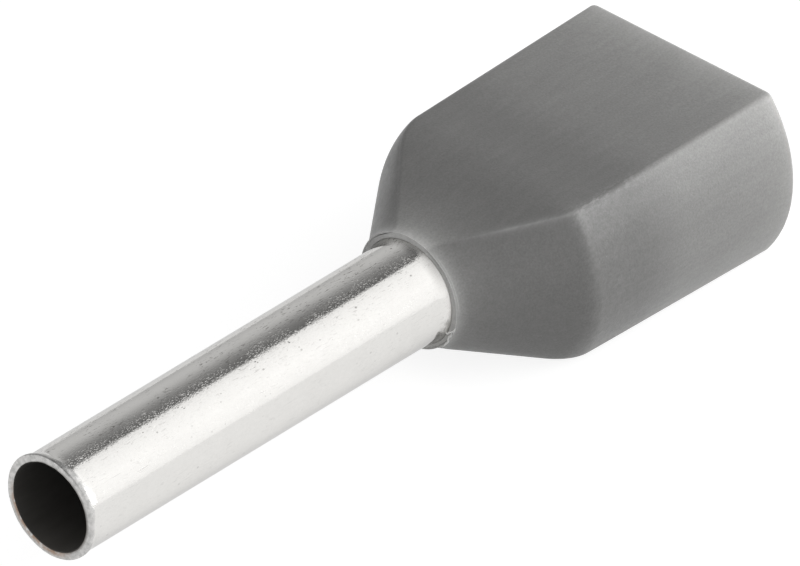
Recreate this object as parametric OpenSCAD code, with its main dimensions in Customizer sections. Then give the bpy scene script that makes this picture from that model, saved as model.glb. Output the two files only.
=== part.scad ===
// Twin wire ferrule: a tin-plated copper sleeve in a moulded plastic collar for two wires.
// The sleeve lies along X. The origin is the centre of its cut end, +X runs into the collar
// and +Z is up. The collar's flat faces are its top and bottom, and the wires lie side by side
// along Y.

/* [Sleeve] */
// Outside diameter of the straight sleeve
sleeve_od = 2.1; // [1.8:0.05:2.3]
// Thickness of the sleeve's wall
sleeve_wall = 0.15; // [0.1:0.01:0.25]
// Length of sleeve that stands out of the collar
sleeve_exposed = 9.8; // [6:0.1:18]
// Length of the bell mouth that opens inside the collar
bell_len = 1.7; // [1.2:0.05:2]
// How far the bell mouth opens outward
bell_rise = 0.22; // [0.1:0.01:0.26]

/* [Cut end] */
// Length of the slightly opened lip that the cutting tool leaves
lip_len = 0.2; // [0.1:0.01:0.4]
// How far that lip opens outward
lip_rise = 0.035; // [0.01:0.005:0.06]
// Size of the broken edges of the cut end
lip_edge = 0.03; // [0.01:0.005:0.045]

/* [Collar] */
// Length of the collar, from its ring face to the wire entry
collar_len = 7.7; // [6:0.1:12]
// Distance from the ring face to the shoulder
shoulder_at = 2.2; // [1.9:0.05:3]
// Width of the ring face round the sleeve
ring_wall = 0.17; // [0.1:0.01:0.3]
// Width of the flat top and bottom at the shoulder
shoulder_flat = 4.36; // [3.8:0.02:4.8]
// Width of the flat top and bottom at the wire entry
rear_flat = 4.48; // [4:0.02:5]
// Height of the collar at the shoulder
shoulder_height = 3.38; // [3.1:0.02:3.8]
// Height of the collar at the wire entry
rear_height = 3.58; // [3.3:0.02:4]
// How far each side bulges at the shoulder
shoulder_bulge = 0.57; // [0.3:0.01:0.9]
// How far each side bulges at the wire entry
rear_bulge = 0.64; // [0.3:0.01:0.9]
// Gap all round between the sleeve and its seat in the collar
seat_gap = 0.01; // [0.005:0.005:0.03]

/* [Collar blends] */
// Length of the concave blend behind the ring face
neck_blend = 0.3; // [0.1:0.05:0.8]
// Length of the convex blend over the shoulder
shoulder_blend = 0.9; // [0.3:0.05:1.4]
// Where the long edges fade out on the ring face, as an angle above the side
fade_angle = 69; // [50:1:80]
// Radius of the four long edges
edge_r = 0.15; // [0.05:0.01:0.3]
// Radius of the outer rim of the wire entry
rim_r = 0.14; // [0.04:0.01:0.2]

/* [Wire entry] */
// Thickness of the collar's wall round the wires
collar_wall = 0.38; // [0.3:0.01:0.5]
// Depth of the wire chamber before it starts to narrow
chamber_depth = 4.6; // [3.5:0.1:5.2]
// Step from the sleeve's mouth up to the narrow end of the funnel
funnel_step = 0.03; // [0.01:0.005:0.06]
// Size of the broken edge inside the wire entry
lead_in = 0.12; // [0.05:0.01:0.25]

/* [Hidden] */

// Segments of a full turn on round surfaces
turn_steps = 96;
// Segments across half of the flat, round a long edge and down half of a side
flat_steps = 4;
edge_steps = 4;
side_steps = 10;
// Segments along the bell mouth, the neck blend, the taper, the shoulder blend and the rear rim
bell_steps = 6;
neck_steps = 4;
taper_steps = 3;
shoulder_steps = 9;
rim_steps = 4;
// Segments of a half turn in the wire chamber
chamber_steps = 24;
// Angle that each long edge's rounding spans on the ring face
fade_span = 4;
// How far a cutting shape runs past the surface that it opens
overrun = 0.3;

sleeve_r = sleeve_od / 2;
bore_r = sleeve_r - sleeve_wall;
sleeve_end = sleeve_exposed + bell_len;
bell_end_r = sleeve_r + bell_rise;

ring_x = sleeve_exposed;
ring_r = sleeve_r + seat_gap + ring_wall;
shoulder_x = ring_x + shoulder_at;
rear_x = ring_x + collar_len;
chamber_x = rear_x - chamber_depth;

shoulder_half = shoulder_flat / 2 + shoulder_bulge;
rear_half = rear_flat / 2 + rear_bulge;
draft = (rear_half - shoulder_half) / (rear_x - shoulder_x);
taper_slope = (shoulder_half - ring_r) / (shoulder_at - neck_blend / 2);

// Linear change between two values
function mix(a, b, t) = a + (b - a) * t;

// Zero before the start, a parabola over length l, and then a straight rise of slope 1
function ramp(t, l) = t <= 0 ? 0 : t < l ? t * t / (2 * l) : t - l / 2;

// Evenly spaced numbers from a to b, with n steps and without the first
function steps(a, b, n) = [for (i = [1 : n]) mix(a, b, i / n)];

// Where x lies between the shoulder, 0, and the wire entry, 1
function along(x) = (x - shoulder_x) / (rear_x - shoulder_x);
function half_flat(x) = mix(shoulder_flat, rear_flat, along(x)) / 2;
function half_height(x) = mix(shoulder_height, rear_height, along(x)) / 2;
function bulge(x) = mix(shoulder_bulge, rear_bulge, along(x));
function body_half(x) = half_flat(x) + bulge(x);

// The collar's half width: a blend out of the neck, a straight taper, and a blend into the drafted body
function half_width(x) = ring_r + taper_slope * ramp(x - ring_x, neck_blend)
    - (taper_slope - draft) * ramp(x - shoulder_x + shoulder_blend / 2, shoulder_blend);

// How far the section at x has changed from the round ring, 0, to the body's own outline, 1
function spread(x) = (half_width(x) - ring_r) / (body_half(x) - ring_r);

// A quarter of the body's outline, from the middle of the top to the middle of the side, as [y, z].
// The side is an arc through the edge of the flat, and edge_r rounds the long edge between the two.
function body_quarter(x) =
    let (
        h = half_height(x),
        b = bulge(x),
        side_r = (h * h + b * b) / (2 * b),
        side_y = body_half(x) - side_r,
        edge_z = h - edge_r,
        edge_y = side_y + sqrt(pow(side_r - edge_r, 2) - edge_z * edge_z),
        turn = atan2(edge_z, edge_y - side_y)
    )
    concat(
        [for (t = steps(0, 1, flat_steps)) [edge_y * t, h]],
        [for (a = steps(90, turn, edge_steps)) [edge_y + edge_r * cos(a), edge_z + edge_r * sin(a)]],
        [for (a = steps(turn, 0, side_steps)) [side_y + side_r * cos(a), side_r * sin(a)]]
    );

// The points of the ring face's circle that match those of body_quarter
function ring_quarter() =
    let (upper = fade_angle + fade_span / 2, lower = fade_angle - fade_span / 2)
    [for (a = concat(
        steps(90, upper, flat_steps), steps(upper, lower, edge_steps), steps(lower, 0, side_steps)
    )) ring_r * [cos(a), sin(a)]];

// A whole outline from a quarter that ends on the side and starts one step past the middle of the top
function whole(quarter, top_z) =
    let (n = len(quarter))
    concat(
        [[0, top_z]],
        quarter,
        [for (i = [n - 2 : -1 : 0]) [quarter[i][0], -quarter[i][1]]],
        [[0, -top_z]],
        [for (i = [0 : n - 1]) [-quarter[i][0], -quarter[i][1]]],
        [for (i = [n - 2 : -1 : 0]) [-quarter[i][0], quarter[i][1]]]
    );

// The collar's outline at x, as points [x, y, z]
function collar_section(x) =
    let (
        s = spread(x),
        body = whole(body_quarter(x), half_height(x)),
        ring = whole(ring_quarter(), ring_r)
    )
    [for (i = [0 : len(body) - 1]) let (p = mix(ring[i], body[i], s)) [x, p[0], p[1]]];

// The outline at the wire entry, drawn in by the rounding of the rim at angle a
function rim_section(a) =
    let (
        inset = rim_r * (1 - cos(a)),
        body = collar_section(rear_x),
        half_y = body_half(rear_x),
        half_z = half_height(rear_x)
    )
    [for (p = body) [
        rear_x - rim_r * (1 - sin(a)),
        p[1] * (1 - inset / half_y),
        p[2] * (1 - inset / half_z)
    ]];

// Two half circles of radius r whose centres lie c to each side, as points [x, y, z].
// As c shrinks from full to 0 the gap between the halves turns into one even step of a circle.
function chamber_section(x, c, full, r) =
    let (reach = 90 - 90 / (chamber_steps + 1) * (1 - c / full))
    concat(
        [for (i = [0 : chamber_steps]) let (a = mix(reach, -reach, i / chamber_steps))
            [x, c + r * cos(a), r * sin(a)]],
        [for (i = [0 : chamber_steps]) let (a = mix(-reach, reach, i / chamber_steps))
            [x, -c - r * cos(a), r * sin(a)]]
    );

// A closed solid through outlines round the X axis that have the same number of points.
// Each end is a fan round its own point on the axis.
module loft(sections) {
    n = len(sections[0]);
    last = len(sections) - 1;
    front_hub = n * (last + 1);
    rear_hub = front_hub + 1;
    points = concat(
        [for (s = sections) each s],
        [[sections[0][0][0], 0, 0], [sections[last][0][0], 0, 0]]
    );
    faces = [for (i = [0 : n - 1])
        let (j = (i + 1) % n)
        each concat(
            [[front_hub, j, i], [rear_hub, last * n + i, last * n + j]],
            [for (k = [0 : n : (last - 1) * n])
                each [[k + i, k + j, k + n + j], [k + i, k + n + j, k + n + i]]]
        )];
    polyhedron(points = points, faces = faces, convexity = 6);
}

// Lays a profile of [radius, x] round the X axis
module turned(profile) {
    rotate([0, 90, 0]) rotate_extrude($fn = turn_steps) polygon(profile);
}

// Radius that the bell mouth adds at t, from 0 at its start to 1 at the sleeve's end
function bell(t) = bell_rise * t * t;

// The sleeve's outside in the collar, as [radius, x], grown by gap
function bell_profile(gap) = [for (t = steps(0, 1, bell_steps))
    [sleeve_r + bell(t) + gap, sleeve_exposed + bell_len * t]];

module sleeve() {
    mouth_r = sleeve_r + lip_rise;
    throat_r = bore_r + lip_rise;
    outside = concat(
        [
            [mouth_r - lip_edge, 0],
            [mouth_r, lip_edge],
            [sleeve_r, lip_len],
            [sleeve_r, sleeve_exposed]
        ],
        bell_profile(0)
    );
    inside = concat(
        [for (i = [len(bell_profile(0)) - 1 : -1 : 0]) bell_profile(0)[i] - [sleeve_wall, 0]],
        [
            [bore_r, sleeve_exposed],
            [bore_r, lip_len],
            [throat_r, lip_edge],
            [throat_r + lip_edge, 0]
        ]
    );
    color("silver") turned(concat(outside, inside));
}

// The space that the sleeve takes in the collar, open at both ends
module sleeve_seat() {
    turned(concat(
        [
            [0, ring_x - overrun],
            [sleeve_r + seat_gap, ring_x - overrun],
            [sleeve_r + seat_gap, ring_x]
        ],
        bell_profile(seat_gap),
        [
            [bell_end_r + seat_gap, sleeve_end + overrun],
            [0, sleeve_end + overrun]
        ]
    ));
}

// The chamber for the two wires and the funnel that leads their strands into the sleeve
module wire_chamber() {
    front_r = half_height(chamber_x) - collar_wall;
    rear_r = half_height(rear_x) - collar_wall;
    front_c = body_half(chamber_x) - collar_wall - front_r;
    rear_c = body_half(rear_x) - collar_wall - rear_r;
    lead_x = rear_x - lead_in;
    lead_r = mix(rear_r, front_r, lead_in / chamber_depth);
    lead_c = mix(rear_c, front_c, lead_in / chamber_depth);
    loft([
        chamber_section(sleeve_end, 0, front_c, bell_end_r + seat_gap + funnel_step),
        chamber_section(chamber_x, front_c, front_c, front_r),
        chamber_section(lead_x, lead_c, lead_c, lead_r),
        chamber_section(rear_x, rear_c, rear_c, rear_r + lead_in),
        chamber_section(rear_x + overrun, rear_c, rear_c, rear_r + lead_in)
    ]);
}

module collar() {
    blend_start = shoulder_x - shoulder_blend / 2;
    blend_end = shoulder_x + shoulder_blend / 2;
    stations = concat(
        [ring_x],
        steps(ring_x, ring_x + neck_blend, neck_steps),
        steps(ring_x + neck_blend, blend_start, taper_steps),
        steps(blend_start, blend_end, shoulder_steps)
    );
    color("dimgray") difference() {
        loft(concat(
            [for (x = stations) collar_section(x)],
            [collar_section(rear_x - rim_r)],
            [for (a = steps(0, 90, rim_steps)) rim_section(a)]
        ));
        sleeve_seat();
        wire_chamber();
    }
}

sleeve();
collar();
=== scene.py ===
import math

import bpy
import numpy as np
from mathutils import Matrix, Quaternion, Vector


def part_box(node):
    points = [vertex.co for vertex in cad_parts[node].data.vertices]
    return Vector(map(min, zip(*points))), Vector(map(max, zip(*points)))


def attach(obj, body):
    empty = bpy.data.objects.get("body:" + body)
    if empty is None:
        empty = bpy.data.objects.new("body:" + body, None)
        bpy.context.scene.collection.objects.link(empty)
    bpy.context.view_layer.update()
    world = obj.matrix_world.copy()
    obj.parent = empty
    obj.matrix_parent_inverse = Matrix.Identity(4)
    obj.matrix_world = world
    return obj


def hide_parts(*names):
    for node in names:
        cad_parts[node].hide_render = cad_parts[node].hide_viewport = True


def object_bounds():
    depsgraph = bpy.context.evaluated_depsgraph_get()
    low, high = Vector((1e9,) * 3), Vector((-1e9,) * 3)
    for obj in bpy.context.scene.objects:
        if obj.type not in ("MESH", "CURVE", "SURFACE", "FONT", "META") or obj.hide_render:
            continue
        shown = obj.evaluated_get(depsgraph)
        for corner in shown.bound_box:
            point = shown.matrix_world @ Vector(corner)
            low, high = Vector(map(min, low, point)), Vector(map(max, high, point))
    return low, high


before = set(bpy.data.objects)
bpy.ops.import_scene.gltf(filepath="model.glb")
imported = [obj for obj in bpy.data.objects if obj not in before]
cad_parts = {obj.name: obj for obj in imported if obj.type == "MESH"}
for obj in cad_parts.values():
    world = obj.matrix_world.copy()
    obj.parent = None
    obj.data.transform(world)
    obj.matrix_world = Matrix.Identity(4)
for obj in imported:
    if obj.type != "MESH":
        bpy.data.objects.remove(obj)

CAD_LOW, CAD_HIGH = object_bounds()
MM = 0.001

# ---------------------------------------------------------------- sizes, in millimetres, as in part.scad
SLEEVE_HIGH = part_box("sleeve")[1] / MM
COLLAR_LOW, COLLAR_HIGH = (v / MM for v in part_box("collar"))

SLEEVE_R = 1.05
BORE_R = 0.9
LIP_RISE = 0.035
BELL_LEN = 1.7
BELL_RISE = 0.22

RING_X = COLLAR_LOW.x
REAR_X = COLLAR_HIGH.x
SLEEVE_END = SLEEVE_HIGH.x
RING_R = 1.23
SHOULDER_X = RING_X + 2.2
SHOULDER_FLAT, REAR_FLAT = 4.36, 4.48
SHOULDER_HEIGHT, REAR_HEIGHT = 3.38, 3.58
SHOULDER_BULGE, REAR_BULGE = 0.57, 0.64
NECK_BLEND = 0.3
SHOULDER_BLEND = 0.9
FADE_ANGLE, FADE_SPAN = 69, 4
EDGE_R = 0.15
RIM_R = 0.14
COLLAR_WALL = 0.38
CHAMBER_X = REAR_X - 4.6
FUNNEL_STEP = 0.03
LEAD_IN = 0.12
SHOULDER_HALF = SHOULDER_FLAT / 2 + SHOULDER_BULGE
REAR_HALF = REAR_FLAT / 2 + REAR_BULGE
DRAFT = (REAR_HALF - SHOULDER_HALF) / (REAR_X - SHOULDER_X)
TAPER_SLOPE = (SHOULDER_HALF - RING_R) / (SHOULDER_X - RING_X - NECK_BLEND / 2)

# ---------------------------------------------------------------- what only this specimen has, in millimetres
# The seat is closer here than in the solids
SEAT_GAP = 0.004
# The bell mouth already starts to open a little in front of the ring
FLARE_LEN, FLARE_RISE = 0.24, 0.043
# The lip of the cut end: the fillets of its edges, and its back as places in x and rises over the tube
OUTER_FILLET, INNER_FILLET = 0.032, 0.022
THROAT_RISE = 0.010
LIP_BACK = ((0.08, 0.032), (0.11, 0.023), (0.145, 0.011), (0.18, 0.004))
# The burr moves the lip forward and outward: all of it, in slow waves, and in fine nicks
BURR_LEN = 0.16
BURR_FORWARD, BURR_OUTWARD = (0.006, 0.008, 0.004), (0.002, 0.004, 0.002)
# Waves are given as seed, count, and lowest and highest order; here two slow ones and the nicks
LIP_WAVES = ((3, 9, 2, 14), (5, 8, 3, 18), (8, 10, 9, 40))
# The cut has moved the whole lip towards +Y
LIP_SHIFT = 0.024
# Angles from here on run round the X axis from 0 at +Y towards +Z, in degrees.
# Each dent or push has a depth, the angle where it is deepest, and how far it spreads round the axis.
PRESSED_LIP = (0.034, 143, 42)
LEAN = (0.024, 138, 38)
RING_DENT = (0.03, 240, 26)
RING_DENT_LEN = 0.4
# The lean only moves what lies between these radii: the bore and the ring's outside stay
LEAN_INNER, LEAN_OUTER, LEAN_FADE = 1.0, 1.2, 0.06
# The shoulder is crisper on the -Y side, from this share of the half width on, and most at the top
CRISP_BLEND = 0.2
CRISP_FROM, CRISP_OVER = 0.45, 0.35
# The ring face: its broken inner edge as places in x and distances outside the seat, and its raised outer
# edge as places in x and distances inside the outer radius
SEAT_EDGE = ((0.008, 0), (0.002, 0.003), (0, 0.010))
RIDGE = ((0, 0.030), (-0.002, 0.020), (-0.004, 0.014), (-0.004, 0.007), (0, 0.001))
# Flash: a line just inside the ring's edge, with a painted highlight on that edge, and a second one on the
# neck, over a part of the turn; both are broken up by waves of a mean, a swing and a least value
FACE_DEPTH = 0.003
FLASH_INSET, FLASH_WIDTH, FLASH_LEVEL = 0.008, 0.010, 0.8
SECOND_FLASH, SECOND_WIDTH, SECOND_LEVEL = 0.057, 0.009, 0.36
SECOND_AT, SECOND_REACH, SECOND_FADE = 149, 27, 3
FLASH_MEAN, FLASH_SWING, FLASH_LEAST = 0.75, 0.4, 0.4
FLASH_WAVES = (41, 9, 2, 17)
# The ring face has a painted glow, paler up to this angle, fading over the last part
FACE_PALE_TO, FACE_FADE = 200, 25
FACE_PALE, FACE_PLAIN = 0.45, 0.1
# Torn threads of flash on the ring face, as corners of angle and radius; they are paler than the lines
THREAD_R, THREAD_CROOK, THREAD_SWELL = 0.019, 0.006, 0.005
THREAD_WAVES = (31, 6, 1, 9)
THREAD_FLASH = 2.5
TORN_FLASH = (
    ((209, 1.064), (207, 1.09), (206, 1.125), (203, 1.145), (200, 1.19), (197, 1.225), (193, 1.234)),
    ((201, 1.185), (205, 1.20), (208, 1.18), (211, 1.19), (213, 1.218), (218, 1.215), (225, 1.234)),
)

# ---------------------------------------------------------------- mesh density
SLEEVE_TURN = 288
FLAT_POINTS, EDGE_POINTS, SIDE_POINTS = 12, 8, 26
EASE_POWER = 1.6
BEAD_SIDES, BEAD_TAPER = 6, 8
# Loops along the neck, from the ring face, close together where the second line of flash runs
NECK_LOOPS = (0.01, 0.022, 0.036, 0.048, 0.057, 0.066, 0.08, 0.1, 0.13, 0.17, 0.21, 0.25, NECK_BLEND)
# Stands for a distance to a long edge where there is none
FAR_OFF = 9.0


# ---------------------------------------------------------------- meshes
def object_from(name, points, faces, attributes=()):
    """A smooth mesh object from points in millimetres."""
    mesh = bpy.data.meshes.new(name)
    mesh.from_pydata((np.asarray(points) * MM).tolist(), [], faces)
    for label, values in dict(attributes).items():
        attribute = mesh.attributes.new(label, "FLOAT", "POINT")
        attribute.data.foreach_set("value", np.asarray(values, np.float32))
    mesh.shade_smooth()
    mesh.update()
    made = bpy.data.objects.new(name, mesh)
    bpy.context.scene.collection.objects.link(made)
    return made


def ring_faces(count, width, closed=True):
    """Quads through count loops of width points each; a closed run joins the last loop to the first."""
    faces = []
    for k in range(count if closed else count - 1):
        a = k * width
        b = (k + 1) % count * width
        faces += [(a + i, b + i, b + (i + 1) % width, a + (i + 1) % width) for i in range(width)]
    return faces


def waves(seed, count, lowest, highest):
    """A smooth, repeatable function of an angle, from -1 to 1 or so."""
    rng = np.random.RandomState(seed)
    orders = rng.randint(lowest, highest + 1, count)
    phases = rng.uniform(0, 2 * math.pi, count)
    sizes = rng.uniform(0.4, 1, count)
    return lambda a: sum(s * np.sin(n * a + p) for n, p, s in zip(orders, phases, sizes)) / sizes.sum()


def mix(a, b, t):
    return a + (b - a) * t


def turn_of(points):
    """Angle of each point [x, y, z] or [y, z] round the X axis, from 0 at +Y towards +Z, in degrees."""
    return np.degrees(np.arctan2(points[:, -1], points[:, -2])) % 360


def hump(value, middle, width):
    """One at the middle, fading away smoothly to both sides."""
    return np.exp(-((value - middle) / width) ** 2)


# ---------------------------------------------------------------- sleeve
def arc(x, r, radius, start, end, steps):
    """Points [x, r] on a small fillet, angles in degrees from +x towards +r."""
    return [
        (x + radius * math.cos(math.radians(a)), r + radius * math.sin(math.radians(a)))
        for a in np.linspace(start, end, steps)
    ]


def bell(x):
    """How far the tube has opened at x on its way to the mouth inside the collar."""
    if x < RING_X:
        return FLARE_RISE * max(0.0, 1 - (RING_X - x) / FLARE_LEN) ** 2
    return mix(FLARE_RISE, BELL_RISE, (x - RING_X) / BELL_LEN)


def sleeve_outside():
    """The outer wall as [x, radius], from the outer edge of the cut end back to the mouth of the bell."""
    wall = arc(OUTER_FILLET, SLEEVE_R + LIP_RISE - OUTER_FILLET, OUTER_FILLET, 180, 82, 9)
    wall += [(x, SLEEVE_R + rise) for x, rise in LIP_BACK]
    wall += [(x, SLEEVE_R) for x in (0.22, 0.3, 0.6)]
    wall += [(x, SLEEVE_R) for x in np.linspace(1, RING_X - FLARE_LEN, 12)]
    wall += [(x, SLEEVE_R + bell(x)) for x in np.linspace(RING_X - FLARE_LEN, RING_X, 11)[1:]]
    wall += [(x, SLEEVE_R + bell(x)) for x in np.linspace(RING_X, SLEEVE_END, 10)[1:-1]]
    return wall


def sleeve_mouth():
    """The end of the bell, with its outer edge broken."""
    mouth_r, quarter = SLEEVE_R + BELL_RISE, (SLEEVE_R - BORE_R) / 4
    return [(SLEEVE_END - 0.01, mouth_r - 0.01), (SLEEVE_END, mouth_r - quarter),
            (SLEEVE_END, mouth_r - 3 * quarter)]


def sleeve_inside():
    """The bore as [x, radius], from the mouth of the bell forward to the inner edge of the cut end."""
    wall = [(x - 0.005, BORE_R + bell(x)) for x in np.linspace(RING_X, SLEEVE_END, 10)[:0:-1]]
    wall += [(x, BORE_R + bell(x)) for x in (RING_X, RING_X - FLARE_LEN / 2)]
    wall += [(x, BORE_R) for x in np.linspace(RING_X - FLARE_LEN, 0.6, 8)]
    wall += [(0.3, BORE_R), (0.12, BORE_R + 0.004)]
    return wall + arc(INNER_FILLET, BORE_R + THROAT_RISE + INNER_FILLET, INNER_FILLET, 270, 180, 6)


def make_sleeve():
    """The tube, with the small burr and dents that the cutting tool leaves on its lip."""
    outside, mouth, inside = sleeve_outside(), sleeve_mouth(), sleeve_inside()
    angles = np.linspace(0, 2 * math.pi, SLEEVE_TURN, endpoint=False)
    push, tilt, nick = (waves(*settings)(angles) for settings in LIP_WAVES)
    forward = np.dot(BURR_FORWARD, [np.ones(SLEEVE_TURN), push, nick])
    outward = np.dot(BURR_OUTWARD, [np.ones(SLEEVE_TURN), tilt, nick]) + LIP_SHIFT * np.cos(angles)
    depth, middle, width = PRESSED_LIP
    pressed = depth * hump(np.degrees(angles), middle, width)
    loops = []
    for x, r in outside + mouth + inside:
        near_lip = max(0.0, 1 - x / BURR_LEN)
        loop_x = x + near_lip * forward
        loop_r = r + near_lip * (outward - pressed * (r > SLEEVE_R - 0.02))
        loops.append(np.stack([loop_x, loop_r * np.cos(angles), loop_r * np.sin(angles)], 1))
    bore = np.concatenate([np.zeros(len(outside + mouth)), [r < SLEEVE_R - 0.05 for x, r in inside]])
    return object_from("tinned_sleeve", lean(np.concatenate(loops)), ring_faces(len(loops), SLEEVE_TURN),
                       {"bore": np.repeat(bore, SLEEVE_TURN)})


def lean(points):
    """Move the tube and its seat outwards together on one side of the ring's face."""
    radius = np.hypot(points[:, 1], points[:, 2])
    depth, middle, width = LEAN
    push = depth * hump(turn_of(points), middle, width)
    push *= np.clip(1 - np.abs(points[:, 0] - RING_X) / FLARE_LEN, 0, 1) ** 2
    push *= np.clip((LEAN_OUTER - radius) / LEAN_FADE, 0, 1) * (radius > LEAN_INNER)
    moved = points.copy()
    moved[:, 1:] *= (1 + push / radius)[:, None]
    return moved


# ---------------------------------------------------------------- collar
def ramp(t, length):
    """Zero before the start, a parabola over the length, and then a straight rise of slope 1."""
    t = np.maximum(t, 0)
    return np.where(t < length, t * t / (2 * length), t - length / 2)


def along(x):
    return (x - SHOULDER_X) / (REAR_X - SHOULDER_X)


def half_height(x):
    return mix(SHOULDER_HEIGHT, REAR_HEIGHT, along(x)) / 2


def half_flat(x):
    return mix(SHOULDER_FLAT, REAR_FLAT, along(x)) / 2


def bulge(x):
    return mix(SHOULDER_BULGE, REAR_BULGE, along(x))


def body_half(x):
    return half_flat(x) + bulge(x)


def half_width(x, blend):
    """Half of the width: the ring, a straight taper, and the drafted body, with a blend at each change."""
    taper = TAPER_SLOPE * ramp(x - RING_X, NECK_BLEND)
    return RING_R + taper - (TAPER_SLOPE - DRAFT) * ramp(x - SHOULDER_X + blend / 2, blend)


def spread(x, blend):
    """How far the section at x has changed from the round ring, 0, to the body's own outline, 1."""
    return (half_width(x, blend) - RING_R) / (body_half(x) - RING_R)


def shoulder_blend(y, z):
    """Length of the blend over the shoulder, which is crisper towards the top of the -Y side."""
    sideways = np.clip((-y / SHOULDER_HALF - CRISP_FROM) / CRISP_OVER, 0, 1)
    upwards = np.clip((1 + z / (SHOULDER_HEIGHT / 2)) / 2, 0, 1)
    return mix(SHOULDER_BLEND, CRISP_BLEND, sideways * upwards ** 0.5)


def eased(count, power=EASE_POWER):
    """Numbers from 0 to 1, closer together near 1."""
    return 1 - (1 - np.arange(1, count + 1) / count) ** power


def body_quarter(x):
    """From one step past the middle of the top to the middle of the side, as [y, z]."""
    h, b = half_height(x), bulge(x)
    side_r = (h * h + b * b) / (2 * b)
    side_y = body_half(x) - side_r
    edge_z = h - EDGE_R
    edge_y = side_y + math.sqrt((side_r - EDGE_R) ** 2 - edge_z ** 2)
    turn = math.atan2(edge_z, edge_y - side_y)
    flat = [(edge_y * t, h) for t in eased(FLAT_POINTS)]
    edge = [(edge_y + EDGE_R * math.cos(a), edge_z + EDGE_R * math.sin(a))
            for a in np.linspace(math.pi / 2, turn, EDGE_POINTS + 1)[1:]]
    side = [(side_y + side_r * math.cos(turn * (1 - t)), side_r * math.sin(turn * (1 - t)))
            for t in 1 - eased(SIDE_POINTS)[::-1] + 1 / SIDE_POINTS ** EASE_POWER]
    side[-1] = (side_y + side_r, 0.0)
    return np.array(flat + edge + side)


def ring_quarter(radius):
    """The same points as body_quarter, on a circle."""
    upper, lower = FADE_ANGLE + FADE_SPAN / 2, FADE_ANGLE - FADE_SPAN / 2
    angles = np.concatenate([
        mix(90, upper, eased(FLAT_POINTS)),
        np.linspace(upper, lower, EDGE_POINTS + 1)[1:],
        np.linspace(lower, 0, SIDE_POINTS + 1)[1:],
    ])
    return radius * np.stack([np.cos(np.radians(angles)), np.sin(np.radians(angles))], 1)


def whole(quarter, top_z):
    """A whole outline, starting at the middle of the top and running by way of +Y."""
    down = quarter[-2::-1] * [1, -1]
    left = quarter * [-1, -1]
    back = quarter[-2::-1] * [-1, 1]
    return np.concatenate([[[0, top_z]], quarter, down, [[0, -top_z]], left, back])


def ring_outline(radius, x):
    """The ring's outline, which is a little flat at one place on the underside of its face."""
    outline = whole(ring_quarter(radius), radius)
    depth, middle, width = RING_DENT
    depth *= max(0.0, 1 - (x - RING_X) / RING_DENT_LEN)
    return outline * (1 - depth * hump(turn_of(outline), middle, width))[:, None]


def collar_section(x):
    """The outside at x, part of the way from the ring's outline to the body's."""
    body = whole(body_quarter(x), half_height(x))
    ring = ring_outline(RING_R, x)
    blend = shoulder_blend(body[:, :1], body[:, 1:])
    flat = mix(ring, body, spread(x, blend))
    return np.column_stack([np.full(len(flat), x), flat])


def rim_section(angle):
    """The outline at the wire entry, drawn in by the rounding of the rim."""
    inset = RIM_R * (1 - math.cos(angle))
    x = REAR_X - RIM_R * (1 - math.sin(angle))
    return collar_section(x) * [1, 1 - inset / body_half(x), 1 - inset / half_height(x)]


def stadium(x, c, r):
    """Two half circles of radius r whose centres lie c to each side."""
    flat = [(c * t, r) for t in eased(FLAT_POINTS, 1)]
    turn = [(c + r * math.cos(a), r * math.sin(a))
            for a in np.linspace(math.pi / 2, 0, EDGE_POINTS + SIDE_POINTS + 1)[1:]]
    outline = whole(np.array(flat + turn), r)
    return np.column_stack([np.full(len(outline), x), outline])


def circle(x, r):
    """A circle whose points match those of stadium."""
    a = np.linspace(90, 0, FLAT_POINTS + EDGE_POINTS + SIDE_POINTS + 1)[1:]
    outline = whole(r * np.stack([np.cos(np.radians(a)), np.sin(np.radians(a))], 1), r)
    return np.column_stack([np.full(len(outline), x), outline])


def entry_loops(centre, radius):
    """The broken edge of the wire entry."""
    angles = np.linspace(0, math.pi / 2, 6)
    return [stadium(REAR_X - LEAD_IN * (1 - math.cos(a)), centre, radius + LEAD_IN * (1 - math.sin(a)))
            for a in angles]


def inside_loops():
    """From the wire entry inward: the broken edge, the chamber, the funnel and the sleeve's seat."""
    front_r = half_height(CHAMBER_X) - COLLAR_WALL
    rear_r = half_height(REAR_X) - COLLAR_WALL
    front_c = body_half(CHAMBER_X) - COLLAR_WALL - front_r
    rear_c = body_half(REAR_X) - COLLAR_WALL - rear_r
    loops = entry_loops(rear_c, rear_r)
    for t in (0.02, 0.1, 0.3, 0.6, 0.9, 0.97):
        x = mix(REAR_X - LEAD_IN, CHAMBER_X, t)
        loops.append(stadium(x, mix(rear_c, front_c, t), mix(rear_r, front_r, t)))
    narrow_r = SLEEVE_R + BELL_RISE + SEAT_GAP + FUNNEL_STEP
    for t in (0, 0.04, 0.1, 0.3, 0.5, 0.7, 0.9, 0.96, 1):
        x = mix(CHAMBER_X, SLEEVE_END, t)
        loops.append(mix(stadium(x, front_c, front_r), circle(x, narrow_r), t))
    for t in np.linspace(1, 0, 8)[:-1]:
        x = RING_X + BELL_LEN * t
        loops.append(circle(x, SLEEVE_R + bell(x) + SEAT_GAP))
    return loops


def outside_loops():
    """From the ring back over the neck, the taper, the shoulder and the body to the rounded rim."""
    start, end = SHOULDER_X - SHOULDER_BLEND / 2, SHOULDER_X + SHOULDER_BLEND / 2
    stations = np.concatenate([
        RING_X + np.array(NECK_LOOPS),
        np.linspace(RING_X + NECK_BLEND, start, 14)[1:],
        np.linspace(start, end, 25)[1:],
        np.linspace(end, REAR_X - RIM_R, 22)[1:],
    ])
    rim = [rim_section(a) for a in np.linspace(0, math.pi / 2, 9)[1:]]
    return [collar_section(x) for x in stations] + rim


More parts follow.
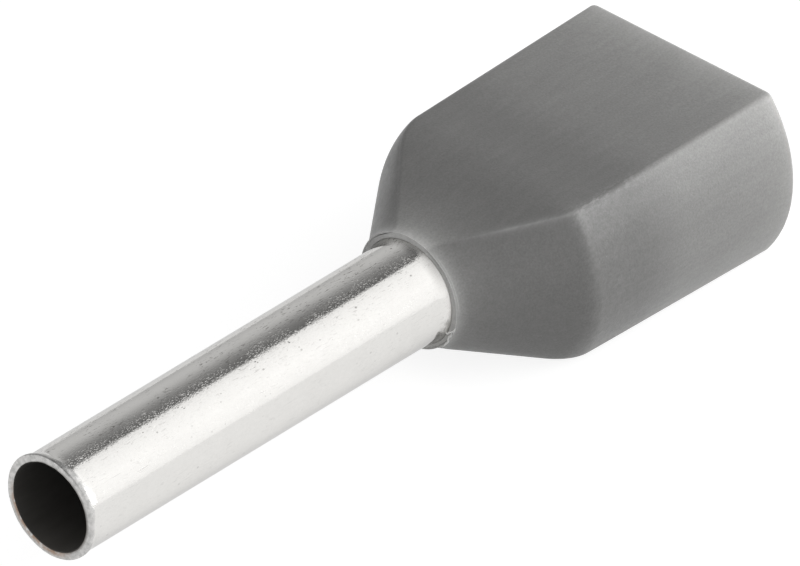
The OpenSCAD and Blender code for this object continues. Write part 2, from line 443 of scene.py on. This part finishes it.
def ring_face_loops():
    """From the seat out to the start of the neck: the ring face with its thin raised outer edge."""
    seat_r = SLEEVE_R + FLARE_RISE + SEAT_GAP
    loops = [circle(RING_X + dx, seat_r + outset) for dx, outset in SEAT_EDGE]
    loops += [circle(RING_X, mix(seat_r, RING_R, t)) for t in (0.3, 0.55, 0.75)]
    ring = ring_outline(1.0, RING_X)
    for dx, inset in RIDGE:
        loops.append(np.column_stack([np.full(len(ring), RING_X + dx), ring * (RING_R - inset)]))
    return loops


def from_top(width):
    """How many steps each point of an outline lies from the middle of the top or bottom."""
    quarter = width // 4
    return np.abs((np.arange(width) + quarter) % (2 * quarter) - quarter)


def edge_distance(loop):
    """How far each point of an outline lies from the nearest long edge, along the outline."""
    step = np.linalg.norm(np.roll(loop, -1, 0) - loop, axis=1)
    run = np.cumsum(step) - step
    edges = from_top(len(loop)) == FLAT_POINTS + EDGE_POINTS // 2
    gap = np.abs(run[:, None] - run[edges])
    return np.minimum(gap, step.sum() - gap).min(1)


def bead(path, radius):
    """A thin bead round a path of points, tapered and closed at both ends."""
    path = np.asarray(path)
    ahead = np.gradient(path, axis=0)
    ahead /= np.linalg.norm(ahead, axis=1)[:, None]
    across = np.cross(ahead, [1, 0, 0])
    across /= np.linalg.norm(across, axis=1)[:, None]
    up = np.cross(ahead, across)
    ends = np.minimum(np.arange(len(path)), np.arange(len(path))[::-1])
    thick = np.asarray(radius) * np.minimum(1, (ends + 1) / BEAD_TAPER)
    turn = np.linspace(0, 2 * math.pi, BEAD_SIDES, endpoint=False)
    rounds = [p + r * (np.outer(np.cos(turn), a) + np.outer(np.sin(turn), b))
              for p, r, a, b in zip(path, thick, across, up)]
    faces = ring_faces(len(path), BEAD_SIDES, closed=False)
    last = (len(path) - 1) * BEAD_SIDES
    faces += [tuple(range(BEAD_SIDES))[::-1], tuple(range(last, last + BEAD_SIDES))]
    return np.concatenate(rounds), faces


def round_x(places):
    """Points [x, y, z] from places given as an angle from +Y, a radius and an x."""
    angle, radius, x = np.asarray(places).T
    return np.stack([x, radius * np.cos(np.radians(angle)), radius * np.sin(np.radians(angle))], 1)


def torn_line(corners, steps=40):
    """A crooked thread of flash on the ring face through corners of angle and radius."""
    corners = np.array(corners)
    t = np.linspace(0, len(corners) - 1, steps)
    angle, radius = (np.interp(t, np.arange(len(corners)), corners[:, k]) for k in (0, 1))
    crook = waves(*THREAD_WAVES)(t * 2)
    x = RING_X - THREAD_CROOK + THREAD_CROOK / 2 * crook
    path = round_x(np.stack([angle, radius + THREAD_CROOK * crook, x], 1))
    return bead(path, THREAD_R + THREAD_SWELL * crook)


def pale_flash_and_glow(points):
    """How pale each point is: the two lines of flash, the first with a painted highlight on the ring's edge,
    and a painted glow on the upper part of the ring face.
    """
    x, y, z = points.T
    turn = turn_of(points)
    on_face = x < RING_X + FACE_DEPTH
    edge = hump(np.hypot(y, z), RING_R - FLASH_INSET, FLASH_WIDTH) * on_face
    reach = np.clip((SECOND_REACH - np.abs(turn - SECOND_AT)) / SECOND_FADE, 0, 1)
    second = hump(x, RING_X + SECOND_FLASH, SECOND_WIDTH) * reach
    wave = waves(*FLASH_WAVES)(np.radians(turn))
    broken = np.clip(FLASH_MEAN + FLASH_SWING * wave, FLASH_LEAST, 1)
    lines = np.clip(FLASH_LEVEL * edge + SECOND_LEVEL * second, 0, 1) * broken
    # Painted glow on the ring face
    face = on_face * mix(FACE_PLAIN, FACE_PALE, np.clip((FACE_PALE_TO - turn) / FACE_FADE, 0, 1))
    return np.maximum(lines, face)


def make_collar():
    """The moulded piece as one closed mesh, and the torn threads of flash on its ring face."""
    outside, inside = outside_loops(), inside_loops()
    rim = outside[-1]
    to_entry = [mix(rim, inside[0], t) for t in (0.06, 0.5, 0.94)]
    loops = outside + to_entry + inside + ring_face_loops()
    width = len(rim)
    points = [lean(np.concatenate(loops))]
    faces = ring_faces(len(loops), width)
    edge = np.full(len(points[0]), FAR_OFF)
    edge[:len(outside) * width] = np.concatenate([edge_distance(loop) for loop in outside])
    side = np.tile(np.clip((from_top(width) - FLAT_POINTS) / EDGE_POINTS, 0, 1), len(loops))
    count = body = len(points[0])
    for more_points, more_faces in [torn_line(corners) for corners in TORN_FLASH]:
        points.append(more_points)
        faces += [tuple(count + i for i in face) for face in more_faces]
        count += len(more_points)
    extra = np.zeros(count - body)
    return object_from("moulded_collar", np.concatenate(points), faces, {
        "edge_distance": np.concatenate([edge, extra + FAR_OFF]),
        "side": np.concatenate([side, extra]),
        "flash_and_painted_light": np.concatenate([pale_flash_and_glow(points[0]), extra + THREAD_FLASH]),
    })


# ---------------------------------------------------------------- node trees
class Nodes:
    """A short way to write a node tree."""

    def __init__(self, tree):
        tree.nodes.clear()
        self.tree = tree

    def add(self, kind, inputs=None, **settings):
        node = self.tree.nodes.new(kind)
        for key, value in settings.items():
            setattr(node, key, value)
        for key, value in (inputs or {}).items():
            socket = node.inputs[key]
            if isinstance(value, bpy.types.NodeSocket):
                self.tree.links.new(value, socket)
            else:
                socket.default_value = value
        return node

    def math(self, operation, a, b=0.0):
        return self.add("ShaderNodeMath", {0: a, 1: b}, operation=operation).outputs[0]

    def product(self, first, *others):
        for value in others:
            first = self.math("MULTIPLY", first, value)
        return first

    def total(self, first, *others):
        for value in others:
            first = self.math("ADD", first, value)
        return first

    def falloff(self, distance, length):
        """One at distance 0, fading away over the length."""
        return self.math("EXPONENT", self.math("MULTIPLY", distance, -1.0 / length))

    def near(self, value, middle, length):
        """One where the value is at the middle, fading away over the length to both sides."""
        return self.falloff(self.math("ABSOLUTE", self.math("SUBTRACT", value, middle)), length)

    def attribute(self, name):
        return self.add("ShaderNodeAttribute", attribute_name=name).outputs["Fac"]

    def fit(self, value, low, high, to_low=0.0, to_high=1.0, smooth=False):
        """The value, stretched so that low becomes to_low and high becomes to_high, and kept between them."""
        kind = "SMOOTHSTEP" if smooth else "LINEAR"
        return self.add("ShaderNodeMapRange", {0: value, 1: low, 2: high, 3: to_low, 4: to_high},
                        interpolation_type=kind, clamp=True).outputs[0]

    def between(self, factor, a, b):
        """A number from a to b."""
        return self.add("ShaderNodeMix", {0: factor, 2: a, 3: b}, data_type="FLOAT").outputs[0]

    def blend(self, factor, a, b, mode="MIX"):
        """A colour from a to b."""
        return self.add("ShaderNodeMix", {0: factor, 6: a, 7: b}, data_type="RGBA", blend_type=mode,
                        clamp_factor=True).outputs[2]

    def shade(self, colour, value):
        """The colour, made lighter or darker by a factor."""
        grey = self.add("ShaderNodeCombineColor", {0: value, 1: value, 2: value}).outputs[0]
        return self.blend(1.0, colour, grey, "MULTIPLY")

    def place(self, scale=(1, 1, 1), shift=0.0):
        """Object coordinates in millimetres, times scale along each axis and moved by the shift."""
        coords = self.add("ShaderNodeTexCoord").outputs["Object"]
        size = [s / MM for s in scale]
        scaled = self.add("ShaderNodeMapping", {"Vector": coords, "Scale": size}).outputs[0]
        return self.vector("ADD", scaled, (shift,) * 3).outputs[0]

    def vector(self, operation, a, b):
        return self.add("ShaderNodeVectorMath", {0: a, 1: b}, operation=operation)

    def parts(self, vector):
        return self.add("ShaderNodeSeparateXYZ", {0: vector}).outputs

    def noise(self, scale, detail=2.0, rough=0.5, shift=0.0):
        """Soft noise; scale is in waves a millimetre, and each shift gives another pattern."""
        return self.add("ShaderNodeTexNoise", {
            "Vector": self.place(scale, shift), "Scale": 1.0, "Detail": detail, "Roughness": rough,
        }).outputs["Fac"]

    def cloud(self, scale, low, high, to_low=0.0, to_high=1.0, detail=3.0, rough=0.6, shift=0.0):
        """Noise, stretched as fit does."""
        return self.fit(self.noise(scale, detail, rough, shift), low, high, to_low, to_high)

    def cells(self, scale, shift=0.0):
        """Distance to the nearest cell point and the cell's own random number; scale is in cells a mm."""
        node = self.add("ShaderNodeTexVoronoi", {"Vector": self.place(scale, shift), "Scale": 1.0})
        own = self.add("ShaderNodeSeparateColor", {0: node.outputs["Color"]}).outputs[0]
        return node.outputs["Distance"], own

    def dots(self, scale, share, size, shift=0.0):
        """Dots in a share of the cells; size is the largest radius in cell widths."""
        distance, own = self.cells(scale, shift)
        radius = self.fit(own, 1 - share, 1.0, 0.0, size)
        inside = self.math("SUBTRACT", radius, distance)
        return self.fit(inside, 0.0, size * 0.45)

    def bump(self, height, depth, strength=1.0):
        """A normal from a height; depth is in millimetres."""
        return self.add("ShaderNodeBump", {
            "Height": height, "Strength": strength, "Distance": depth * MM}).outputs[0]

    def surface(self, inputs):
        shader = self.add("ShaderNodeBsdfPrincipled", inputs)
        self.add("ShaderNodeOutputMaterial", {"Surface": shader.outputs[0]})


def new_material(name):
    material = bpy.data.materials.new(name)
    material.use_nodes = True
    return material, Nodes(material.node_tree)


def rgb(r, g, b):
    return (r, g, b, 1.0)


# ---------------------------------------------------------------- the tin and the bore
TIN_DARK, TIN_LIGHT = rgb(0.70, 0.69, 0.67), rgb(0.75, 0.74, 0.72)
TIN_TINT = rgb(0.70, 0.70, 0.70)
# The first is the colour of the dirt and also of the painted line at the edge of the dark reflected band
DARK_MARK, SCRATCH = rgb(0.24, 0.23, 0.22), rgb(0.34, 0.33, 0.32)
CUT_DARK, CUT_LIGHT = rgb(0.43, 0.43, 0.42), rgb(0.63, 0.62, 0.61)
# The first is a painted shade for the bore's edge; the second is bare copper
PAINTED_BORE_EDGE_SHADE, BARE_COPPER = rgb(0.09, 0.08, 0.07), rgb(0.30, 0.20, 0.14)
# Near-black painted shade for the inside of the tube
BORE_SHADE_DARK, BORE_SHADE_LIGHT = rgb(0.036, 0.034, 0.031), rgb(0.062, 0.059, 0.055)
# A faint painted line along the tube, at the edge of the dark reflected band, and the direction in y and z of
# the burr on its cut end
REFLECTION_EDGE_Y = -0.33
BURR_TO = (-0.69, 0.72)


def tin_relief(n, y, patches):
    """Dimples, pits, drawing ripple and scratches of the plating, each from 0 to 1."""
    dimples = n.product(n.dots((10, 13, 13), 0.55, 0.42), patches, n.fit(y, -0.8, -0.5))
    pits = n.product(n.cloud((24, 40, 40), 0.56, 0.72, detail=1.0, rough=0.5, shift=61.0), patches,
                     n.fit(y, -0.44, -0.35), n.fit(y, 0.05, -0.2, 0.2, 1.0))
    ripple = n.product(n.noise((20, 28, 28), rough=0.55), patches)
    scratches = n.product(n.cloud((1.6, 34, 34), 0.66, 0.74, detail=2.0, rough=0.5, shift=2.0),
                          n.cloud((0.8, 1.8, 1.8), 0.50, 0.62, detail=2.0, rough=0.5, shift=14.0))
    return dimples, pits, ripple, scratches


def tin_dark_marks(n, y, patches):
    """Dark spots and drawn-out marks in clusters, fewer low on the -Y side, and a broken painted line along
    the edge of the dark reflected band.
    """
    clusters = n.cloud((1.1, 2.0, 2.0), 0.43, 0.53, detail=2.0, rough=0.5, shift=19.0)
    spots = n.product(n.dots((8, 11, 11), 0.45, 0.30, 21.0), clusters)
    marks = n.product(n.cloud((7, 28, 28), 0.57, 0.66, rough=0.65, shift=51.0), clusters,
                      n.fit(y, -0.3, 0.1, 0.4, 1.0))
    dark_marks = n.product(n.math("MAXIMUM", spots, marks), n.fit(y, -0.8, -0.5, 0.3, 1.0))
    # Painted reflection: a broken dark line where the reflected dark band meets the white one
    painted_reflection_edge = n.product(n.near(y, REFLECTION_EDGE_Y, 0.10), patches,
                     n.cloud((16, 26, 26), 0.52, 0.62, detail=2.0, rough=0.5, shift=71.0))
    return n.math("MAXIMUM", dark_marks, n.product(painted_reflection_edge, 0.55))


def tin_tone(n, dark_marks, scratches):
    """The tin's own colour with its dirt, the painted line at the edge of the dark reflected band, and
    scratches.
    """
    tone = n.blend(n.noise((2.2, 2.2, 2.2), 3.0, 0.6, 9.0), TIN_DARK, TIN_LIGHT)
    tone = n.shade(tone, n.cloud((12, 16, 16), 0.3, 0.7, 0.98, 1.02, rough=0.7, shift=81.0))
    tone = n.blend(n.product(dark_marks, 0.85), tone, DARK_MARK)
    stray_dirt = n.dots((3.2, 3.2, 3.2), 0.25, 0.075, 33.0)
    tone = n.blend(n.product(stray_dirt, 0.5), tone, DARK_MARK)
    return n.blend(n.product(scratches, 0.35), tone, SCRATCH)


def cut_face(n, x, y, z):
    """Where the cut end with its burr is, and its tone: painted shade at the edge of the bore, and coppery
    low towards +Y.
    """
    burr = n.fit(n.total(n.product(y, BURR_TO[0]), n.product(z, BURR_TO[1])), 0.80, 1.0)
    cut = n.fit(n.math("SUBTRACT", x, n.product(burr, 0.09)), 0.085, 0.035)
    tone = n.blend(n.cloud((9, 9, 9), 0.36, 0.64, rough=0.65, shift=3.0), CUT_DARK, CUT_LIGHT)
    radius = n.math("SQRT", n.total(n.product(y, y), n.product(z, z)))
    # Painted shade where the cut face turns into the bore
    painted_shade = n.fit(radius, BORE_R + 0.07, BORE_R + 0.015)
    tone = n.blend(n.product(painted_shade, 0.75), tone, PAINTED_BORE_EDGE_SHADE)
    inner = n.fit(radius, BORE_R + 0.16, BORE_R + 0.08)
    low = n.product(n.fit(y, -0.55, -0.1), n.fit(z, 0.2, -0.3))
    bare = n.product(inner, low, n.cloud((7, 7, 7), 0.34, 0.5, detail=2.0, shift=13.0))
    return cut, n.blend(n.product(bare, 0.85), tone, BARE_COPPER)


def tinned_copper():
    """Bright tin plating with fine pits, dirt, a painted line at the edge of the dark reflected band and
    scratches, dull at the ring and on the cut face, which has painted shade at the bore's edge.
    """
    material, n = new_material("tinned_copper")
    x, y, z = n.parts(n.place())
    patches = n.cloud((0.9, 1.6, 1.6), 0.40, 0.60, 0.25, 1.0, detail=2.0, rough=0.5, shift=4.0)
    dimples, pits, ripple, scratches = tin_relief(n, y, patches)
    dark_marks = tin_dark_marks(n, y, patches)
    cut, cut_tone = cut_face(n, x, y, z)

    # The flare at the ring is dull, over a longer stretch towards +Y and underneath
    far_side = n.math("MAXIMUM", n.fit(y, -0.1, 0.3), n.fit(z, 0.1, -0.3))
    dull_length = n.total(n.product(far_side, 0.16), 0.13)
    dull = n.fit(n.math("SUBTRACT", RING_X, x), dull_length, 0.02, 0.0, 0.28)
    rough = n.total(n.cloud((5, 9, 9), 0.3, 0.7, 0.05, 0.10, shift=5.0), n.product(dimples, 0.06),
                    n.product(cut, 0.27), n.product(dark_marks, 0.2), dull)
    height = n.total(n.product(ripple, 0.5), n.product(dimples, -0.7), n.product(pits, -0.65),
                     n.product(scratches, -0.12))
    clear_of_ring = n.fit(x, RING_X - 0.12, RING_X - 0.4, 0.2, 1.0)
    n.surface({
        "Base Color": n.blend(cut, tin_tone(n, dark_marks, scratches), cut_tone), "Metallic": 1.0,
        "Roughness": rough, "Specular Tint": TIN_TINT,
        "Normal": n.bump(n.product(height, clear_of_ring), 0.0035),
    })
    return material


def bore_painted_shade():
    """The inside of the tube: a near-black painted shade in dull streaks, painted lighter towards -Y."""
    material, n = new_material("bore_painted_shade")
    x, y, z = n.parts(n.place())
    streaks = n.noise((1.2, 9, 9), 4.0, 0.6, 6.0)
    n.surface({
        # Painted shade, lighter towards -Y
        "Base Color": n.shade(n.blend(streaks, BORE_SHADE_DARK, BORE_SHADE_LIGHT), n.fit(y, 0.6, -0.9, 1.0, 3.2)),
        "Metallic": 0.0, "Roughness": n.fit(streaks, 0.3, 0.7, 0.6, 0.8), "Specular IOR Level": 0.2,
        "Normal": n.bump(streaks, 0.004, 0.5),
    })
    return material


# ---------------------------------------------------------------- the plastic
PLASTIC = rgb(0.187, 0.186, 0.182)
SCUFF_AND_HIGHLIGHT, RUBBED, SPECK = rgb(0.34, 0.34, 0.335), rgb(0.40, 0.40, 0.395), rgb(0.40, 0.40, 0.39)
# Pale flash, also used for the painted highlight at the ring's edge and the painted glow on the ring face
FLASH_AND_PAINTED_LIGHT = rgb(0.88, 0.88, 0.87)
RUBBED_CORNER = Vector((SHOULDER_X + 0.1, -SHOULDER_FLAT / 2 - 0.05, SHOULDER_HEIGHT / 2 - 0.1))


def painted_thin_glow(n, x, ring, ring_length, wall, rear, rim, rim_length):
    """Painted light: how much lighter the plastic is painted where it is thin, as a glow of light through it:
    at the ring, over the chamber and at the rim.
    """
    at_ring = n.product(n.falloff(n.math("SUBTRACT", x, RING_X), ring_length), ring)
    over_chamber = n.fit(x, CHAMBER_X + 0.3, CHAMBER_X + 1.9, 0.0, wall, smooth=True)
    to_rear = n.fit(x, CHAMBER_X + 1.9, REAR_X, 0.0, rear)
    at_rim = n.product(n.falloff(n.math("SUBTRACT", REAR_X, x), rim_length), rim)
    return n.total(at_ring, over_chamber, to_rear, at_rim, 1.0)


def plastic_tone(n, x, side, edge):
    """The moulded grey with painted light where it is thin, one level for the top and bottom and one for the
    sides, and along the sides' long edges; with mottle, flow marks and a grain.
    """
    # Painted glow through the thin plastic, one for the top and bottom and one for the sides
    flat_painted_glow = painted_thin_glow(n, x, ring=1.7, ring_length=0.35, wall=0.30, rear=0.24, rim=1.05, rim_length=0.5)
    side_painted_glow = painted_thin_glow(n, x, ring=1.02, ring_length=0.25, wall=0.44, rear=0.26, rim=0.70, rim_length=0.3)
    on_body = n.fit(x, SHOULDER_X - 0.1, SHOULDER_X + 0.6)
    # Painted light along the long edges of the sides, on the body
    edge_painted_glow = n.total(n.product(n.falloff(edge, 0.32), side, on_body, 0.27), 1.0)
    near_shoulder = n.product(n.fit(x, SHOULDER_X - 0.4, SHOULDER_X),
                              n.fit(x, SHOULDER_X + 2.4, SHOULDER_X + 0.6), side)
    coarse = n.product(n.cloud((11, 11, 11), 0.35, 0.65, -0.07, 0.07, shift=15.0), near_shoulder)
    return n.shade(PLASTIC, n.product(
        n.between(side, flat_painted_glow, side_painted_glow),
        edge_painted_glow,
        n.cloud((0.8, 1.2, 1.2), 0.3, 0.7, 0.97, 1.03, rough=0.55, shift=2.0),
        n.cloud((24, 24, 24), 0.3, 0.7, 0.88, 1.12, rough=0.65, shift=1.0),
        n.total(coarse, 1.0),
        n.cloud((0.9, 7.0, 7.0), 0.35, 0.7, 0.97, 1.05, shift=8.0),
    ))


def scuffs_and_painted_highlights(n, tone, x, z, side, edge, on_front_side):
    """Scuffs and painted highlights on the -Y side: along the taper's long edge, and on the shoulder with its
    upper corner.
    """
    # Scuffs with a painted highlight along the taper's long edge
    crease = n.product(n.falloff(edge, 0.065), n.fit(x, RING_X + 0.4, RING_X + 1.2),
                       n.fit(x, SHOULDER_X + 0.5, SHOULDER_X), on_front_side,
                       n.cloud((3, 9, 9), 0.3, 0.6, 0.55, 1.0, shift=23.0))
    tone = n.blend(n.product(crease, 0.95), tone, SCUFF_AND_HIGHLIGHT)
    # A painted highlight along the crest of the shoulder, strongest towards the top
    ridge = n.product(n.near(x, SHOULDER_X + 0.06, 0.07), side, on_front_side,
                      n.fit(z, -0.6, SHOULDER_HEIGHT / 2, 0.0, 0.6))
    from_corner = n.vector("DISTANCE", n.place(), RUBBED_CORNER).outputs["Value"]
    corner = n.product(n.total(n.product(n.falloff(from_corner, 0.22), 0.7), ridge),
                       n.cloud((13, 13, 13), 0.36, 0.62, 0.25, 1.0, rough=0.65, shift=29.0))
    return n.blend(n.product(corner, 0.7), tone, SCUFF_AND_HIGHLIGHT)


def rubbed(n, tone, x, edge, on_front_side):
    """Rubbed places along the body's long edge, most behind the shoulder, and a few pale specks."""
    patches = n.cloud((7, 15, 15), 0.46, 0.64, detail=4.0, rough=0.7, shift=5.0)
    worn = n.product(n.falloff(edge, 0.12), patches, n.fit(x, SHOULDER_X - 0.2, SHOULDER_X),
                     n.fit(x, SHOULDER_X + 3.0, SHOULDER_X + 0.3), on_front_side)
    tone = n.blend(n.product(worn, 0.8), tone, RUBBED)
    return n.blend(n.product(n.dots((5, 5, 5), 0.1, 0.13, 3.0), 0.5), tone, SPECK)


def grey_plastic():
    """Matt moulded grey with a fine grain, painted light where it is thin, scuffs with painted highlights,
    rubbed edges, and pale flash with a painted glow on the ring face.
    """
    material, n = new_material("grey_plastic")
    x, y, z = n.parts(n.place())
    side, edge, flash_and_painted_light = n.attribute("side"), n.attribute("edge_distance"), n.attribute("flash_and_painted_light")
    on_front_side = n.fit(y, 0.2, -0.2)
    tone = plastic_tone(n, x, side, edge)
    tone = scuffs_and_painted_highlights(n, tone, x, z, side, edge, on_front_side)
    tone = rubbed(n, tone, x, edge, on_front_side)
    pale = n.cloud((12, 12, 12), 0.35, 0.65, 0.7, 1.0, detail=2.0, shift=27.0)
    # Flash, with the painted highlight at the ring's edge and the painted glow on the ring face
    tone = n.blend(n.product(flash_and_painted_light, pale), tone, FLASH_AND_PAINTED_LIGHT)
    height = n.total(n.noise((30, 30, 30), 2.0, 0.6, 11.0), n.product(n.noise((6, 6, 6), 2.0, 0.5, 4.0), 0.8))
    n.surface({
        "Base Color": tone, "Metallic": 0.0, "Normal": n.bump(height, 0.0035), "IOR": 1.49,
        "Roughness": n.cloud((9, 9, 9), 0.3, 0.7, 0.36, 0.48, shift=17.0),
    })
    return material


# ---------------------------------------------------------------- studio
FLOOR_HALF = 1.5
FLOOR_TONE, FLOOR_GLOW = 0.28, 0.86


def make_floor():
    """A pale floor that reads white and keeps a soft shadow."""
    corners = [(a * FLOOR_HALF, b * FLOOR_HALF, CAD_LOW.z) for a, b in ((-1, -1), (1, -1), (1, 1), (-1, 1))]
    mesh = bpy.data.meshes.new("floor")
    mesh.from_pydata(corners, [], [(0, 1, 2, 3)])
    floor = bpy.data.objects.new("floor", mesh)
    bpy.context.scene.collection.objects.link(floor)
    material, n = new_material("pale_floor")
    seen = n.add("ShaderNodeLightPath").outputs
    direct = n.math("MAXIMUM", n.math("MAXIMUM", seen["Is Camera Ray"], seen["Is Glossy Ray"]),
                    seen["Is Transmission Ray"])
    n.surface({
        "Base Color": rgb(FLOOR_TONE, FLOOR_TONE, FLOOR_TONE), "Roughness": 0.9, "Specular IOR Level": 0.0,
        "Emission Color": rgb(1, 1, 1), "Emission Strength": n.math("MULTIPLY", direct, FLOOR_GLOW),
    })
    mesh.materials.append(material)


# Brightness of the studio round the X axis: 0 is the +Y horizon, 90 is overhead, 180 is the -Y horizon
STUDIO = (
    (-90, 0.62), (0, 0.65), (18, 0.70), (29, 0.68), (38, 0.61), (46, 0.50), (54, 0.385), (61, 0.295),
    (68, 0.243), (75, 0.204), (82, 0.165), (86.5, 0.15), (87.5, 1.08), (94, 1.14), (100, 1.21), (118, 1.29),
    (141, 1.35), (158, 1.30), (170, 1.28), (182, 1.20), (270, 1.0),
)
STUDIO_START, STUDIO_TOP = -90, 2.0
# The lamps stand to the right, so the light falls off towards -X, on the -Y side only above the horizon.
# Both slopes pass through 1 in the direction that the sleeve reflects.
SLEEVE_SEES = 0.607
FRONT_LEFT_LOW, FRONT_LEFT_HIGH, FRONT_RIGHT = 1.0, 0.2, 1.25
BACK_LEFT = 0.5
SOFTBOX_TO = Vector((0.85, -0.5, 0.17)).normalized()
SOFTBOX_HALF_ANGLE, SOFTBOX_CORE = 18, 8
SOFTBOX_LEVEL = 8.0


def studio_bands(n, y, z):
    """The brightness round the X axis, as a share of STUDIO_TOP."""
    turn = n.math("ARCTAN2", n.math("MULTIPLY", y, -1.0), z)
    band = n.add("ShaderNodeValToRGB", {0: n.fit(turn, -math.pi, math.pi)})
    elements = band.color_ramp.elements
    while len(elements) > 1:
        elements.remove(elements[-1])
    for k, (degrees, level) in enumerate(STUDIO):
        at = (degrees - STUDIO_START) / 360
        element = elements[0] if k == 0 else elements.new(at)
        element.position = at
        element.color = rgb(*(level / STUDIO_TOP,) * 3)
    return band.outputs[0]


def studio_slope(n, x, y, z):
    """The fall of the light towards -X, and its rise towards +X on the -Y side."""
    front_left = n.fit(z, 0.0, 0.8, FRONT_LEFT_LOW, FRONT_LEFT_HIGH)
    front = n.total(n.fit(x, -1.0, SLEEVE_SEES, front_left, 1.0),
                    n.fit(x, SLEEVE_SEES, 1.0, 0.0, FRONT_RIGHT - 1))
    back = n.fit(x, -1.0, SLEEVE_SEES, BACK_LEFT, 1.0)
    return n.between(n.fit(y, 0.1, -0.1), back, front)


def make_studio():
    world = bpy.data.worlds.new("studio")
    bpy.context.scene.world = world
    world.use_nodes = True
    n = Nodes(world.node_tree)
    direction = n.add("ShaderNodeTexCoord").outputs["Generated"]
    x, y, z = n.parts(direction)
    facing = n.vector("DOT_PRODUCT", direction, SOFTBOX_TO).outputs["Value"]
    border, core = (math.cos(math.radians(a)) for a in (SOFTBOX_HALF_ANGLE, SOFTBOX_CORE))
    softbox = n.fit(facing, border, core, 0.0, SOFTBOX_LEVEL, smooth=True)
    strength = n.total(n.product(studio_bands(n, y, z), studio_slope(n, x, y, z), STUDIO_TOP), softbox)
    background = n.add("ShaderNodeBackground", {"Color": rgb(1, 1, 1), "Strength": strength})
    n.add("ShaderNodeOutputWorld", {"Surface": background.outputs[0]})


# From a fit of the photo; the target is given from the middle of the CAD box
CAMERA_AZIMUTH, CAMERA_ELEVATION, CAMERA_ROLL = -47.663, 34.099, 0.431
CAMERA_DISTANCE = 450 * MM
CAMERA_TARGET = Vector((0.811, 0, 0.305)) * MM
CAMERA_LENS, CAMERA_SENSOR = 1079.52, 36
CAMERA_CLIP = (0.01, 10)


def make_camera():
    camera = bpy.data.objects.new("camera", bpy.data.cameras.new("camera"))
    bpy.context.scene.collection.objects.link(camera)
    a, e = math.radians(CAMERA_AZIMUTH), math.radians(CAMERA_ELEVATION)
    back = Vector((math.sin(a) * math.cos(e), -math.cos(a) * math.cos(e), math.sin(e)))
    camera.location = (CAD_LOW + CAD_HIGH) / 2 + CAMERA_TARGET + back * CAMERA_DISTANCE
    camera.rotation_mode = "QUATERNION"
    roll = Quaternion((0, 0, 1), math.radians(CAMERA_ROLL))
    camera.rotation_quaternion = (-back).to_track_quat("-Z", "Y") @ roll
    camera.data.sensor_width = CAMERA_SENSOR
    camera.data.lens = CAMERA_LENS
    camera.data.clip_start, camera.data.clip_end = CAMERA_CLIP
    bpy.context.scene.camera = camera


# ---------------------------------------------------------------- the part
def build():
    sleeve = make_sleeve()
    sleeve.data.materials.append(tinned_copper())
    sleeve.data.materials.append(bore_painted_shade())
    bore = sleeve.data.attributes["bore"].data
    for face in sleeve.data.polygons:
        if all(bore[v].value > 0.5 for v in face.vertices):
            face.material_index = 1
    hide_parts("sleeve")
    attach(sleeve, "root")

    collar = make_collar()
    collar.data.materials.append(grey_plastic())
    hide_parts("collar")
    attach(collar, "root")


make_camera()
make_studio()
make_floor()
build()
bpy.context.scene.view_settings.view_transform = "Standard"
